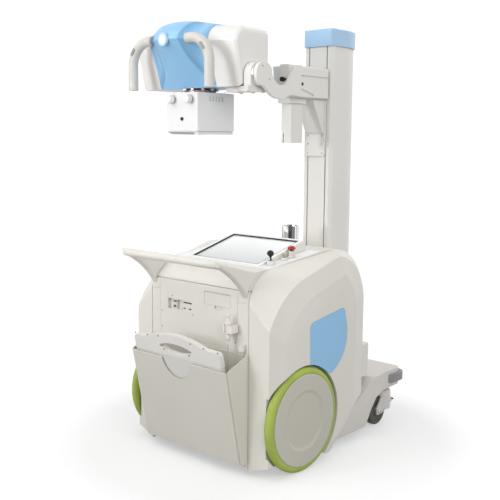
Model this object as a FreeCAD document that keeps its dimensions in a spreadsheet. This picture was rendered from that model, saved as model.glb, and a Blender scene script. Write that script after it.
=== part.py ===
import FreeCAD, Part
import math
import os
import types

import Sketcher
from FreeCAD import Placement, Rotation, Vector

# Driving dimensions in millimetres, or degrees where the name says so
SIZES = (
    ("wheel_radius", 190), ("hub_face", 368), ("tyre_width", 36), ("tyre_height", 40),
    ("cap_margin", 23), ("cap_step", 110), ("axle_radius", 15), ("running_gap", 0.05),
    ("part_gap", 0.3), ("seam_gap", 0.8), ("seam_half", 250), ("body_front", -175), ("body_rear", 505),
    ("body_bottom", 30), ("cover_low", 18), ("shoulder_height", 614), ("body_top", 762),
    ("console_back", 300), ("console_slope", 6.7), ("well_gap", 8), ("well_depth_x", 327), ("panel_wall", 14),
    ("panel_top", 661), ("strip_half", 199), ("cover_mid_x", 338), ("cover_outer_x", 360),
    ("cover_face_x", 363), ("flap_z", 633), ("bin_half", 248), ("bin_top", 393), ("bin_bottom", 49),
    ("bin_lean", 11.8), ("bin_bottom_front", -210), ("bin_wall", 4), ("bin_wing_top", 439),
    ("bin_notch_radius", 78), ("detector_half", 220), ("detector_height", 358), ("detector_thick", 18),
    ("handle_rise", 79), ("handle_slot_half", 84), ("bar_foot_y", -270), ("bar_foot_z", 756),
    ("bar_angle", 168), ("bar_reach", 67), ("bar_radius", 14), ("bar_inset", 18), ("bar_bend", 50),
    ("wing_thick", 30), ("display_half", 184), ("display_front", -52), ("display_length", 272),
    ("display_front_z", 729), ("display_angle", 15.4), ("screen_rim", 15), ("screen_depth", 8),
    ("bezel_width", 4), ("control_x", 206), ("joystick_y", -8), ("key_y", 66), ("stop_y", 110),
    ("post_x", 12), ("post_y", 334), ("post_radius", 33.5), ("post_height", 72), ("deck_half", 316),
    ("deck_top", 234), ("deck_end", 712), ("deck_wall", 12), ("skirt_bottom", 37), ("bumper_out", 22),
    ("bumper_low", 183), ("bumper_high", 216), ("caster_x", 262), ("caster_y", 650),
    ("caster_trail", 50), ("caster_radius", 58), ("caster_wheel_half", 16), ("caster_top", 152),
    ("stem_radius", 10), ("caster_axle", 5), ("column_half", 63), ("column_front", 513),
    ("column_rear", 693), ("column_top", 1606), ("cap_lap", 54), ("cap_rise", 15), ("cap_out", 5),
    ("groove_x", 45), ("groove_width", 5), ("groove_depth", 9), ("arm_low", 1339), ("arm_high", 1461),
    ("arm_left", -60), ("arm_right", 63), ("arm_reach", 212), ("pivot_y", 92), ("pivot_z", 1414),
    ("hook_thick", 16), ("disc_radius", 45), ("pin_radius", 12), ("ring_thick", 12), ("ear_thick", 34),
    ("ear_radius", 46), ("head_centre", -262), ("head_round", 22), ("head_half", 276),
    ("head_back", 197), ("head_low", 1370), ("head_high", 1590), ("saddle_half", 155),
    ("saddle_nose", -98), ("beam_y", 97), ("collimator_half_x", 88), ("collimator_half_y", 102),
    ("collimator_low", 1206), ("collimator_high", 1353), ("rail_low", 1193), ("neck_radius", 35),
    ("flange_radius", 62), ("grip_radius", 19), ("grip_y", -66), ("grip_root", 96), ("grip_out", 212),
    ("grip_top", 1546), ("grip_end", 1363), ("knob_spacing", 98), ("knob_radius", 17),
    ("knob_length", 26), ("latch_y", 335), ("latch_half_x", 23.5), ("latch_half_y", 37.5),
    ("latch_low", 1163), ("switch_x", 179), ("switch_y", -201), ("switch_low", 484),
    ("switch_high", 566), ("switch_radius", 10), ("cord_radius", 2.5), ("insert_depth_x", 348),
)

doc = FreeCAD.newDocument("mobile_xray_machine")
sheet = doc.addObject("Spreadsheet::Sheet", "Sizes")


class Size:
    """A length or angle together with the sheet expression that gives it."""

    def __init__(self, value, text):
        self.value = value
        self.text = text

    def joined(self, other, sign, value):
        return Size(value, f"({self.text} {sign} {as_size(other).text})")

    def __add__(self, other):
        return self.joined(other, "+", self.value + as_size(other).value)

    def __sub__(self, other):
        return self.joined(other, "-", self.value - as_size(other).value)

    def __mul__(self, other):
        return self.joined(other, "*", self.value * as_size(other).value)

    def __truediv__(self, other):
        return self.joined(other, "/", self.value / as_size(other).value)

    def __radd__(self, other):
        return as_size(other) + self

    def __rsub__(self, other):
        return as_size(other) - self

    def __rmul__(self, other):
        return as_size(other) * self

    def __neg__(self):
        return self * -1


def as_size(item):
    return item if isinstance(item, Size) else Size(float(item), f"({float(item)})")


for row, (alias, number) in enumerate(SIZES, start=1):
    sheet.set(f"A{row}", alias)
    sheet.set(f"B{row}", str(number))
    sheet.setAlias(f"B{row}", alias)
doc.recompute()
S = types.SimpleNamespace(**{alias: Size(float(number), f"Sizes.{alias}") for alias, number in SIZES})

NODES = []
PLANES = {"XY": "XY_Plane", "XZ": "XZ_Plane", "YZ": "YZ_Plane"}


def bind(thing, field, amount):
    thing.setExpression(field, as_size(amount).text)


def place(thing, at=(0, 0, 0), axis=None, angle=0):
    """Puts an object at a point, turned about an axis by an angle in degrees."""
    if axis is not None:
        thing.Placement = Placement(Vector(0, 0, 0), Rotation(Vector(*axis), as_size(angle).value))
        bind(thing, "Placement.Rotation.Angle", angle)
    for letter, amount in zip("xyz", at):
        bind(thing, f"Placement.Base.{letter}", amount)


def keep(thing, label):
    """Names a finished sub-part, which is written to its own file."""
    thing.Label = label
    NODES.append(thing)
    return thing


def draw(sketch, loop, closed=True):
    """Draws one outline, each corner (u, v) or (u, v, radius of the arc that leaves it).

    A positive radius puts the arc's centre on the left of the way along it, a negative one on the right."""
    if isinstance(loop, dict):
        u, v, radius = (as_size(loop[key]) for key in ("u", "v", "r"))
        circle = sketch.addGeometry(Part.Circle(Vector(u.value, v.value, 0), Vector(0, 0, 1), radius.value))
        fixed = [("DistanceX", 3, u), ("DistanceY", 3, v)]
        for kind, point, amount in fixed:
            pin_down(sketch, kind, circle, point, amount)
        index = sketch.addConstraint(Sketcher.Constraint("Radius", circle, radius.value))
        bind(sketch, f"Constraints[{index}]", radius)
        return
    corners = [tuple(as_size(item) for item in corner) for corner in loop]
    ends = []
    first = sketch.GeometryCount
    drawn = corners if closed else corners[:-1]
    for index, corner in enumerate(drawn):
        start = Vector(corner[0].value, corner[1].value, 0)
        after = corners[(index + 1) % len(corners)]
        stop = Vector(after[0].value, after[1].value, 0)
        if len(corner) == 2:
            sketch.addGeometry(Part.LineSegment(start, stop))
            ends.append((1, 2))
            continue
        radius = corner[2].value
        chord = stop - start
        rise = math.sqrt(max(radius * radius - chord.Length ** 2 / 4, 0))
        left = Vector(-chord.y, chord.x, 0).normalize()
        centre = (start + stop) * 0.5 + left * (rise if radius > 0 else -rise)
        low, high = (start, stop) if radius > 0 else (stop, start)
        angles = [math.atan2(point.y - centre.y, point.x - centre.x) for point in (low, high)]
        if angles[1] < angles[0]:
            angles[1] += 2 * math.pi
        sketch.addGeometry(Part.ArcOfCircle(Part.Circle(centre, Vector(0, 0, 1), abs(radius)), *angles))
        ends.append((1, 2) if radius > 0 else (2, 1))
    if not closed:
        pin_down(sketch, "DistanceX", first + len(drawn) - 1, ends[-1][1], corners[-1][0])
        pin_down(sketch, "DistanceY", first + len(drawn) - 1, ends[-1][1], corners[-1][1])
    for index, corner in enumerate(drawn):
        piece = first + index
        after = (index + 1) % len(drawn)
        if closed or after:
            sketch.addConstraint(
                Sketcher.Constraint("Coincident", piece, ends[index][1], first + after, ends[after][0]))
        pin_down(sketch, "DistanceX", piece, ends[index][0], corner[0])
        pin_down(sketch, "DistanceY", piece, ends[index][0], corner[1])
        if len(corner) == 3:
            radius = corner[2] if corner[2].value > 0 else -corner[2]
            number = sketch.addConstraint(Sketcher.Constraint("Radius", piece, radius.value))
            bind(sketch, f"Constraints[{number}]", radius)


def pin_down(sketch, kind, piece, point, amount):
    """Fixes one coordinate of a sketch point, on the axis where it is zero."""
    if amount.value == 0:
        axis = -2 if kind == "DistanceX" else -1
        sketch.addConstraint(Sketcher.Constraint("PointOnObject", piece, point, axis))
        return
    index = sketch.addConstraint(Sketcher.Constraint(kind, -1, 1, piece, point, amount.value))
    bind(sketch, f"Constraints[{index}]", amount)


def rounded(u0, v0, u1, v1, radius):
    """A rectangle's outline with quarter-round corners."""
    return [(u0 + radius, v0), (u1 - radius, v0, radius), (u1, v0 + radius), (u1, v1 - radius, radius),
            (u1 - radius, v1), (u0 + radius, v1, radius), (u0, v1 - radius), (u0, v0 + radius, radius)]


def mirrored(loop, side):
    """An outline as it is on the right side, or flipped for the left side."""
    if side > 0:
        return loop
    return [(-corner[0], corner[1]) + tuple(-item for item in corner[2:]) for corner in loop]


def tangent(angle):
    return Size(math.tan(math.radians(angle.value)), f"tan({angle.text} * 1 deg)")


def circle(u, v, radius):
    return {"u": u, "v": v, "r": radius}


def span(side, near, far):
    """The lower and higher end of a stretch on the left (-1) or the right (+1) of the middle."""
    return (near, far) if side > 0 else (-far, -near)


class Piece:
    """A body with sketches on its own origin planes and the features made from them."""

    def __init__(self, name, at=(0, 0, 0), axis=None, angle=0):
        self.body = doc.addObject("PartDesign::Body", name)
        self.name = name
        place(self.body, at, axis, angle)

    def sketch(self, plane, loops, offset=0):
        made = self.body.newObject("Sketcher::SketchObject", f"{self.name}_outline")
        support = next(item for item in self.body.Origin.OriginFeatures if item.Role == PLANES[plane])
        made.AttachmentSupport = (support, [""])
        made.MapMode = "FlatFace"
        bind(made, "AttachmentOffset.Base.z", offset)
        for loop in loops:
            draw(made, loop)
        return made

    def feature(self, kind, name):
        return self.body.newObject(f"PartDesign::{kind}", f"{self.name}_{name}")

    def add(self, plane, loops, low, high):
        """Pads outlines from the low to the high coordinate across their plane."""
        pad = self.feature("Pad", "pad")
        pad.Profile = self.sketch(plane, loops, -as_size(high) if plane == "XZ" else low)
        bind(pad, "Length", as_size(high) - low)
        return self

    def cut(self, plane, loops, low, high):
        """Pockets outlines from the low to the high coordinate across their plane."""
        doc.recompute()
        before = self.body.Shape.Volume
        pocket = self.feature("Pocket", "pocket")
        pocket.Profile = self.sketch(plane, loops, -as_size(high) if plane == "XZ" else low)
        pocket.Reversed = True
        bind(pocket, "Length", as_size(high) - low)
        doc.recompute()
        if not self.body.Shape.Volume < before:
            raise RuntimeError(f"a pocket of {self.name} removes nothing")
        return self

    def spin(self, plane, loops, axis):
        """Revolves outlines about the sketch's horizontal (H) or vertical (V) axis."""
        turned = self.feature("Revolution", "spin")
        turned.Profile = self.sketch(plane, loops)
        turned.ReferenceAxis = (turned.Profile[0], [f"{axis}_Axis"])
        turned.Angle = 360
        return self

    def loft(self, plane, sections, straight=False):
        """Lofts between outlines, each given with its offset, smoothly or straight from one to the next."""
        drawn = [self.sketch(plane, [loop], offset) for offset, loop in sections]
        made = self.feature("AdditiveLoft", "loft")
        made.Ruled = straight
        made.Profile = drawn[0]
        made.Sections = drawn[1:]
        return self

    def pipe(self, plane, path, section_plane, section, offset):
        """Sweeps a section along an open path that lies in one plane."""
        spine = self.sketch(plane, [])
        draw(spine, path, closed=False)
        swept = self.feature("AdditivePipe", "pipe")
        swept.Profile = self.sketch(section_plane, [section], offset)
        swept.Spine = (spine, [f"Edge{number + 1}" for number in range(len(path) - 1)])
        return self

    def soften(self, radius, wanted):
        """Rounds the edges for which the test says yes."""
        doc.recompute()
        names = [f"Edge{number}" for number, edge in enumerate(self.body.Tip.Shape.Edges, start=1)
                 if wanted(edge.BoundBox, edge)]
        if not names:
            raise RuntimeError(f"no edge of {self.name} to round")
        base = self.body.Tip
        smooth = self.feature("Fillet", "fillet")
        smooth.Base = (base, names)
        bind(smooth, "Radius", radius)
        doc.recompute()
        return self

    def done(self, label=None):
        keep(self.body, label or self.name)
        return self.body


def along(axis):
    """A test for straight edges along an axis."""
    def wanted(box, edge):
        lengths = {"x": box.XLength, "y": box.YLength, "z": box.ZLength}
        own = lengths.pop(axis)
        return own > 1 and max(lengths.values()) < 0.01
    return wanted


def at_level(axis, level):
    """A test for edges that lie in one plane across an axis."""
    level = as_size(level).value

    def wanted(box, edge):
        ends = {"x": (box.XMin, box.XMax), "y": (box.YMin, box.YMax), "z": (box.ZMin, box.ZMax)}[axis]
        return abs(ends[0] - level) < 0.01 and abs(ends[1] - level) < 0.01
    return wanted


def boolean(kind, base, tools, label=None):
    """Cuts or fuses finished objects into a new one."""
    result = base
    for tool in tools:
        joined = doc.addObject(f"Part::{kind}", f"{kind.lower()}_{len(doc.Objects)}")
        joined.Base = result
        joined.Tool = tool
        result = joined
    if label:
        keep(result, label)
    return result


def cylinder(name, radius, length, at, axis=None, angle=0):
    made = doc.addObject("Part::Cylinder", name)
    bind(made, "Radius", radius)
    bind(made, "Height", length)
    place(made, at, axis, angle)
    return made


def box(name, low, high):
    made = doc.addObject("Part::Box", name)
    for field, first, last in zip(("Length", "Width", "Height"), low, high):
        bind(made, field, as_size(last) - first)
    place(made, low)
    return made


SIDES = (("left", -1), ("right", 1))


# Steel base frame: bent side rails, cross members, axle stubs and caster sockets
def base_frame():
    rail_inner, rail_outer = as_size(205), as_size(241)
    frame = Piece("frame_rails")
    end = S.deck_end - 22
    start = S.body_front + S.panel_wall + S.part_gap
    top = S.deck_top - S.deck_wall - S.part_gap
    rail = [(start, 64), (430, 64), (540, 160), (end, 160), (end, top), (604, top), (556, 210), (420, 112),
            (start, 112)]
    for _, side in SIDES:
        frame.add("YZ", [rail], *span(side, rail_inner, rail_outer))
    for front in (-138, 370):
        frame.add("XZ", [rounded(-rail_inner - 2, 66, rail_inner + 2, 110, as_size(4))], front, front + 40)
    frame.add("XZ", [rounded(-rail_inner - 2, 164, rail_inner + 2, 208, as_size(4))], 580, 620)
    parts = [frame.body]
    for name, side in SIDES:
        bracket = Piece(f"axle_bracket_{name}")
        bracket.add("YZ", [[(-70, 108), (70, 108), (34, 222), (-34, 222)]],
                    *span(side, as_size(229), rail_outer))
        bracket.add("YZ", [circle(0, S.wheel_radius, 30)], *span(side, as_size(240), S.well_depth_x))
        bracket.add("YZ", [circle(0, S.wheel_radius, S.axle_radius)],
                    *span(side, as_size(240), S.hub_face - 16))
        socket = Piece(f"caster_socket_{name}")
        inner, outer = span(side, as_size(236), as_size(300))
        socket.add("XY", [rounded(inner, S.caster_y - 36, outer, S.caster_y + 36, as_size(6))], 166, 178)
        socket.add("XY", [circle(side * S.caster_x, S.caster_y, 22)], S.caster_top + S.part_gap, 200)
        socket.cut("XY", [circle(side * S.caster_x, S.caster_y, S.stem_radius + S.running_gap)],
                   S.caster_top - 2, S.caster_top + 36)
        parts += [bracket.body, socket.body]
    boolean("Fuse", parts[0], parts[1:], "base_frame")


# Battery pack and generator stand on the frame inside the covers
def inner_units():
    battery = Piece("battery_pack")
    battery.add("XY", [rounded(as_size(-190), as_size(-130), as_size(190), as_size(40), as_size(8))],
                110.3, 290)
    for rib in (-120, -40, 40, 120):
        battery.add("XY", [rounded(as_size(rib - 34), as_size(-124), as_size(rib + 34), as_size(34),
                                   as_size(4))],
                    289, 296)
    battery.done()
    generator = Piece("generator_unit")
    generator.add("XY", [rounded(as_size(-200), as_size(80), as_size(200), as_size(420), as_size(8))],
                  110.3, 470)
    generator.soften(6, at_level("z", 470))
    generator.add("XY", [circle(-90, 170, 34), circle(90, 170, 34)], 469, 520)
    generator.done()


def cover_sections(side):
    """Side-view outlines of a side cover at four distances from the middle."""
    rows = (
        (S.seam_half, S.body_front + 3, S.cover_low, S.shoulder_height, (-54, 727, 122), (305, S.body_top),
         (505, 562, 200), 228, (300, 100)),
        (S.cover_mid_x, S.body_front + 9, S.cover_low + 32, 530, (20, 694, 300), (226, 753),
         (387, 573, 190), 200, (262, 110)),
        (S.cover_outer_x, as_size(-104), S.cover_low + 42, 480, (60, 634, 260), (238, 686),
         (308, 561, 200), 169, (250, 106)),
        (S.cover_face_x, as_size(-68), S.cover_low + 46, 430, (80, 594, 170), (205, 640),
         (262, 528, 150), 190, (226, 106)),
    )
    return [(side * x, [(front, low), (knee[0] - 93, S.body_bottom), knee, (rear[0], rear_low), rear,
                        back, crown, (front, shoulder)])
            for x, front, low, shoulder, crown, back, rear, rear_low, knee in rows]


def cover_form(name, side):
    return Piece(name).loft("YZ", cover_sections(side), straight=True).body


def wheel_well(name, side):
    return cylinder(name, S.wheel_radius + S.well_gap, 100, (side * S.well_depth_x, 0, S.wheel_radius),
                    (0, 1, 0), 90 * side)


def insert_prism(name, side, inset, near):
    """The coloured insert's outline as a prism across the side cover."""
    outline = [(28 + inset, 384 + inset), (89, 358 + inset), (151, 329 + inset, 150), (247 - inset, 439),
               (250 - inset, 483), (234 - inset, 544 - inset, 24), (212 - inset, 564 - inset),
               (42 + inset, 538 - inset, 24), (24 + inset, 519 - inset)]
    return Piece(name).add("YZ", [outline], *span(side, near, as_size(400))).body


# Moulded side covers: lofted shells with a wheel arch and a seat for the coloured insert
def side_covers():
    for name, side in SIDES:
        hollow = Piece(f"side_hollow_{name}")
        hollow.add("YZ", [[(-92, 50), (150, 50), (240, 130), (360, 220), (360, 540), (225, 690), (40, 670),
                           (-60, 590), (-92, 540)]], *span(side, S.seam_half - 4, S.well_depth_x - 12))
        plinth = box(f"plinth_clear_{name}", (-300, 438, 200), (300, 520, 371))
        boss = cylinder(f"boss_clear_{name}", 30 + S.part_gap, 100, (side * 230, 0, S.wheel_radius),
                        (0, 1, 0), 90 * side)
        seat = insert_prism(f"insert_seat_{name}", side, as_size(0), S.insert_depth_x)
        deck_clear = Piece(f"deck_clear_{name}")
        deck_clear.add("YZ", [[(214, 20), (500, 20), (500, 217), (430, 179.5), (300, 98.5), (214, 38.5)]],
                       *span(side, as_size(245), S.deck_half + S.part_gap))
        boolean("Cut", cover_form(f"side_form_{name}", side),
                [wheel_well(f"wheel_well_{name}", side), hollow.body, plinth, boss, seat,
                 deck_clear.body], f"side_cover_{name}")
        pad = insert_prism(f"insert_pad_{name}", side, S.seam_gap, S.insert_depth_x + S.part_gap)
        common = doc.addObject("Part::MultiCommon", f"insert_{name}")
        common.Shapes = [cover_form(f"insert_form_{name}", side), pad]
        boolean("Cut", common, [wheel_well(f"insert_well_{name}", side)], f"side_insert_{name}")


# Operator-side panel with socket recess, flap recess and service strips
def front_panel():
    panel = Piece("front_panel")
    half = S.seam_half - S.seam_gap
    front, back = S.body_front, S.body_front + S.panel_wall
    panel.add("XZ", [rounded(-half, S.body_bottom, half, S.panel_top, as_size(6))], front, back)
    panel.soften(8, lambda frame, edge: along("z")(frame, edge) and frame.YMax < front.value + 0.01)
    for side in (-1, 1):
        low, high = span(side, S.strip_half - S.seam_gap, S.strip_half)
        panel.cut("XZ", [[(low, S.body_bottom + 8), (high, S.body_bottom + 8), (high, S.panel_top - 8),
                          (low, S.panel_top - 8)]], front - 1, front + 1.6)
        low, high = span(side, S.strip_half, half - 9)
        panel.cut("XZ", [[(low, 617), (high, 617), (high, 619), (low, 619)]], front - 1, front + 1.6)
    panel.cut("XZ", [rounded(as_size(-158), as_size(544), as_size(-30), as_size(587), as_size(3))],
              front - 1, front + 1.2)
    sockets = ((-156, 547, -128, 585, 11), (-110, 549, -78, 584, 11), (-126, 573, -112, 583, 6),
               (-126, 553, -112, 563, 6), (-75, 577, -31, 582, 4), (-73, 555, -62, 560, 4),
               (-45, 555, -34, 560, 4))
    for left, low, right, high, depth in sockets:
        panel.cut("XZ", [[(left, low), (right, low), (right, high), (left, high)]], front - 1,
                  front + depth)
    panel.cut("XZ", [rounded(as_size(36), as_size(590), as_size(166), as_size(637), as_size(3))],
              front - 1, front + 7)
    panel.cut("XZ", [[(90, 588), (86, 582), (92, 577), (120, 577), (126, 582), (122, 588), (122, 592),
                      (90, 592)]],
              front - 1, front + 4)
    panel.cut("YZ", [circle(front + 2, S.flap_z, 1 + S.running_gap)], 33, 169)
    panel.add("XY", [rounded(as_size(222), as_size(-196), as_size(237), front + 3, as_size(3))], 452, 474)
    panel.done()


# Small flap over the socket compartment, hinged along its upper edge
def flap_door():
    flap = Piece("flap_door", (101, S.body_front + 1, S.flap_z))
    flap.add("XZ", [rounded(as_size(-64.2), as_size(-42.5), as_size(64.2), as_size(2.2), as_size(2))],
             -0.8, 3)
    flap.add("YZ", [circle(1, 0, 1)], -67.5, 67.5)
    flap.done()


def display_outline(inset):
    """The display recess's outline, made smaller by an inset."""
    rim = S.screen_rim + inset
    return rounded(-S.display_half + rim, rim, S.display_half - rim, S.display_length - rim, as_size(4))


# Top console with the display housing, the side wings and the push bar
def console():
    half = S.seam_half - S.seam_gap
    top = Piece("console_shell")
    top.add("YZ", [[(S.body_front, S.panel_top + S.seam_gap), (S.body_front + S.panel_wall,
                                                               S.panel_top + S.seam_gap),
                    (-50, 713), (245, S.body_top - 14), (S.console_back, S.body_top - 14),
                    (S.console_back, S.body_top), (245, S.body_top), (-54, 727, 140)]], -half, half)
    bar_half = S.seam_half - S.bar_inset
    wings = []
    for name, side in SIDES:
        wing = Piece(f"wing_{name}")
        near = bar_half - S.wing_thick / 2
        wing.add("YZ", [[(-60, 664), (-60, 727), (-116, 724), (-215, 749), (-322, 778), (-318, 757, -318),
                         (-176, 637)]], *span(side, near, near + S.wing_thick))
        wing.soften(10, lambda frame, edge: frame.XLength < 0.01 and frame.YMin < -190)
        wings.append(wing.body)
    rail = Piece("push_bar", (0, S.bar_foot_y, S.bar_foot_z), (1, 0, 0), S.bar_angle)
    bend = S.bar_reach - S.bar_bend
    rail.pipe("XY", [(-bar_half, 4), (-bar_half, bend, -S.bar_bend),
                     (-bar_half + S.bar_bend, S.bar_reach),
                     (bar_half - S.bar_bend, S.bar_reach, -S.bar_bend), (bar_half, bend),
                     (bar_half, 4)],
              "XZ", circle(-bar_half, 0, S.bar_radius), -4)
    housing = Piece("display_housing", (0, S.display_front, S.display_front_z), (1, 0, 0), S.display_angle)
    housing.add("XY", [rounded(-S.display_half, as_size(0), S.display_half, S.display_length,
                               as_size(10))], -42, 0)
    housing.soften(4, at_level("z", 0))
    at = (0, S.display_front, S.display_front_z)
    recess = Piece("display_recess", at, (1, 0, 0), S.display_angle)
    recess.add("XY", [display_outline(as_size(0))], -S.screen_depth, 20)
    shell = boolean("Fuse", top.body, [*wings, rail.body, housing.body])
    clear = box("panel_clear", (-300, S.body_front - S.part_gap, 560),
                (300, S.body_front + 60, S.panel_top + S.seam_gap))
    boolean("Cut", shell, [recess.body, clear], "console_top")
    bezel = Piece("display_bezel", at, (1, 0, 0), S.display_angle)
    bezel.add("XY", [display_outline(S.part_gap)], -S.screen_depth + 0.1, -0.6)
    bezel.cut("XY", [display_outline(S.bezel_width)], -S.screen_depth - 1, 1)
    bezel.done()
    screen = Piece("display_screen", at, (1, 0, 0), S.display_angle)
    screen.add("XY", [display_outline(S.bezel_width + S.part_gap)], -S.screen_depth + 0.1,
               -S.screen_depth + 2.5)
    screen.done()


def console_height(y):
    """Height of the sloping console surface at one distance from the axle."""
    return 727 + (y + 54) * tangent(S.console_slope)


# Joystick on a gimbal, key switch and emergency stop beside the display
def controls():
    slope = ((1, 0, 0), S.console_slope)
    base = {name: (S.control_x, y, console_height(y) + S.part_gap)
            for name, y in (("stick", S.joystick_y), ("key", S.key_y), ("stop", S.stop_y))}
    collar = Piece("joystick_collar", base["stick"], *slope)
    collar.spin("XZ", [[(9.8, 0), (17, 0), (16, 6), (12.4, 16), (9.8, 16)]], "V")
    key_collar = Piece("key_collar", base["key"], *slope)
    key_collar.spin("XZ", [[(5.05, 0), (12, 0), (12, 5), (10, 9), (5.05, 9)]], "V")
    stop_collar = Piece("stop_collar", base["stop"], *slope)
    stop_collar.spin("XZ", [[(7.05, 0), (15, 0), (15, 4), (12, 6), (12, 25), (7.05, 25)]], "V")
    boolean("Fuse", collar.body, [key_collar.body, stop_collar.body], "control_collars")
    gimbal = Piece("joystick_gimbal", base["stick"], *slope)
    gimbal.add("XY", [circle(0, 0, 9.1)], 6, 10)
    gimbal.cut("XY", [circle(0, 0, 5.8)], 5, 11)
    gimbal.done()
    stick = Piece("joystick", base["stick"], *slope)
    stick.spin("XZ", [[(0, 6), (5, 6), (5, 10), (3, 12), (3, 26.4), (13, 39, 13), (0, 52)]], "V")
    stick.done()
    button = Piece("stop_button", base["stop"], *slope)
    button.spin("XZ", [[(0, 16), (7, 16), (7, 30), (14, 31), (15.5, 34, 17), (9, 42), (0, 43)]], "V")
    button.done()
    key = Piece("key", base["key"], *slope)
    key.spin("XZ", [[(0, 1), (5, 1), (5, 10), (0, 10)]], "V")
    key.add("XZ", [rounded(as_size(-8), as_size(9), as_size(8), as_size(26), as_size(4))], -1.2, 1.2)
    key.done()
    post = Piece("park_post", (S.post_x, S.post_y, S.body_top + S.part_gap))
    radius, height = S.post_radius, S.post_height
    post.spin("XZ", [[(0, 0), (radius + 4, 0), (radius + 4, 4), (radius, 6), (radius, height - 2),
                      (radius - 2, height), (radius - 6.5, height), (radius - 6.5, height - 3),
                      (0, height - 3)]],
              "V")
    post.done()


# Rear shell with its rolled top and the plinth that stands on the deck
def rear_cover():
    half = S.seam_half - S.seam_gap
    rear, top, wall = S.body_rear, S.body_top, S.panel_wall
    shell = Piece("rear_cover")
    start = S.console_back + S.seam_gap
    shell.add("YZ", [[(rear - wall, 236), (rear, 236), (rear, 562, 200), (305, top), (start, top),
                      (start, top - wall), (305, top - wall, -186), (rear - wall, 562)]], -half, half)
    shell.add("XY", [rounded(as_size(-291), as_size(446), as_size(291), rear + 3, as_size(14))], 236, 368)
    shell.cut("XY", [[(-277, 440), (277, 440), (277, rear - wall), (-277, rear - wall)]], 235, 356)
    shell.done()


# Wedge-shaped bin on the operator side, with raised side walls and a thumb notch
def detector_bin():
    back = S.body_front - S.part_gap
    lean = tangent(S.bin_lean)
    top_front = S.bin_bottom_front - (S.bin_top - S.bin_bottom) * lean
    bin_shell = Piece("detector_bin")
    bin_shell.add("YZ", [[(S.bin_bottom_front, S.bin_bottom), (back, S.bin_bottom), (back, S.bin_wing_top),
                     (top_front, S.bin_top)]], -S.bin_half, S.bin_half)
    bin_shell.soften(16, lambda frame, edge: frame.XLength < 0.01 and frame.YMin < top_front.value + 0.5
                and frame.YMax > S.bin_bottom_front.value - 0.5 and frame.ZLength > 300)
    inner = S.bin_half - S.bin_wall
    low = S.bin_bottom + S.bin_wall
    front = S.bin_bottom_front + S.bin_wall
    bin_shell.cut("YZ", [[(front, low), (back - S.bin_wall, low), (back - S.bin_wall, 470),
                     (front - (470 - low) * lean, 470)]], -inner, inner)
    bin_shell.cut("XZ", [circle(0, S.bin_top + 10, S.bin_notch_radius)], -320, -240)
    bin_shell.done()


# Flat detector and its carrying handle, leaning against the bin's front wall
def detector():
    low = S.bin_bottom + S.bin_wall + 0.5
    at = (0, S.bin_bottom_front + S.bin_wall + 2.5, low)
    half, thick = S.detector_half, S.detector_thick
    panel = Piece("detector_panel", at, (1, 0, 0), S.bin_lean)
    panel.add("XZ", [rounded(-half, as_size(0), half, S.detector_height, as_size(8))], 0, thick)
    panel.done()
    high = S.detector_height + S.handle_rise
    shoulder = high - 24
    grip = Piece("detector_handle", at, (1, 0, 0), S.bin_lean)
    foot = S.detector_height + S.part_gap
    grip.add("XZ", [[(-half, foot), (half, foot), (half, shoulder - 16, 16), (half - 16, shoulder),
                     (150, shoulder + 2, 420), (-150, shoulder + 2), (16 - half, shoulder, 16),
                     (-half, shoulder - 16)]], -1, thick + 1)
    slot = S.handle_slot_half
    grip.cut("XZ", [[(-slot, high - 48, 210), (slot, high - 48), (slot, high - 42, 240),
                     (-slot, high - 42)]],
             -8, thick + 8)
    grip.done()


# Hand switch in its clip
def hand_switch():
    x, y = S.switch_x, S.switch_y
    front = S.body_front - S.part_gap
    clip = Piece("switch_holder")
    clip.add("XY", [rounded(x - 16, y - 12, x + 26, front, as_size(4))], 512, 540)
    clip.cut("XY", [circle(x, y, S.switch_radius + S.part_gap)], 511, 541)
    clip.cut("XY", [[(x - 7, y - 14), (x + 7, y - 14), (x + 7, y - 4), (x - 7, y - 4)]], 511, 541)
    clip.done()
    grip = Piece("hand_switch", (x, y, 0))
    low, high, radius = S.switch_low, S.switch_high, S.switch_radius
    grip.spin("XZ", [[(0, low - 14), (3.6, low - 14), (6, low), (radius, low + 8), (radius, 541),
                      (radius + 2, 542),
                      (radius + 2, 548), (radius, 552), (radius - 1, high), (4.3, high), (4.3, high - 6),
                      (0, high - 6)]], "V")
    grip.done()
    button = Piece("exposure_button", (x, y, 0))
    button.spin("XZ", [[(0, high - 1.8), (4, high - 1.8), (4, high + 6), (6.5, high + 6), (6.5, high + 9),
                        (5, high + 11), (0, high + 11)]], "V")
    button.done()


CORD_POINTS = ((179, -201, 469.95), (179.5, -201, 428), (177, -198, 374), (177.5, -195, 322),
               (179.5, -193, 279),
               (183, -192, 247), (194.5, -191, 235), (211, -190, 234.5), (223, -189, 246),
               (226, -188.5, 278),
               (227.5, -188, 322), (229, -188, 368), (231, -189, 412), (229.5, -189, 451.7))


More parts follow.
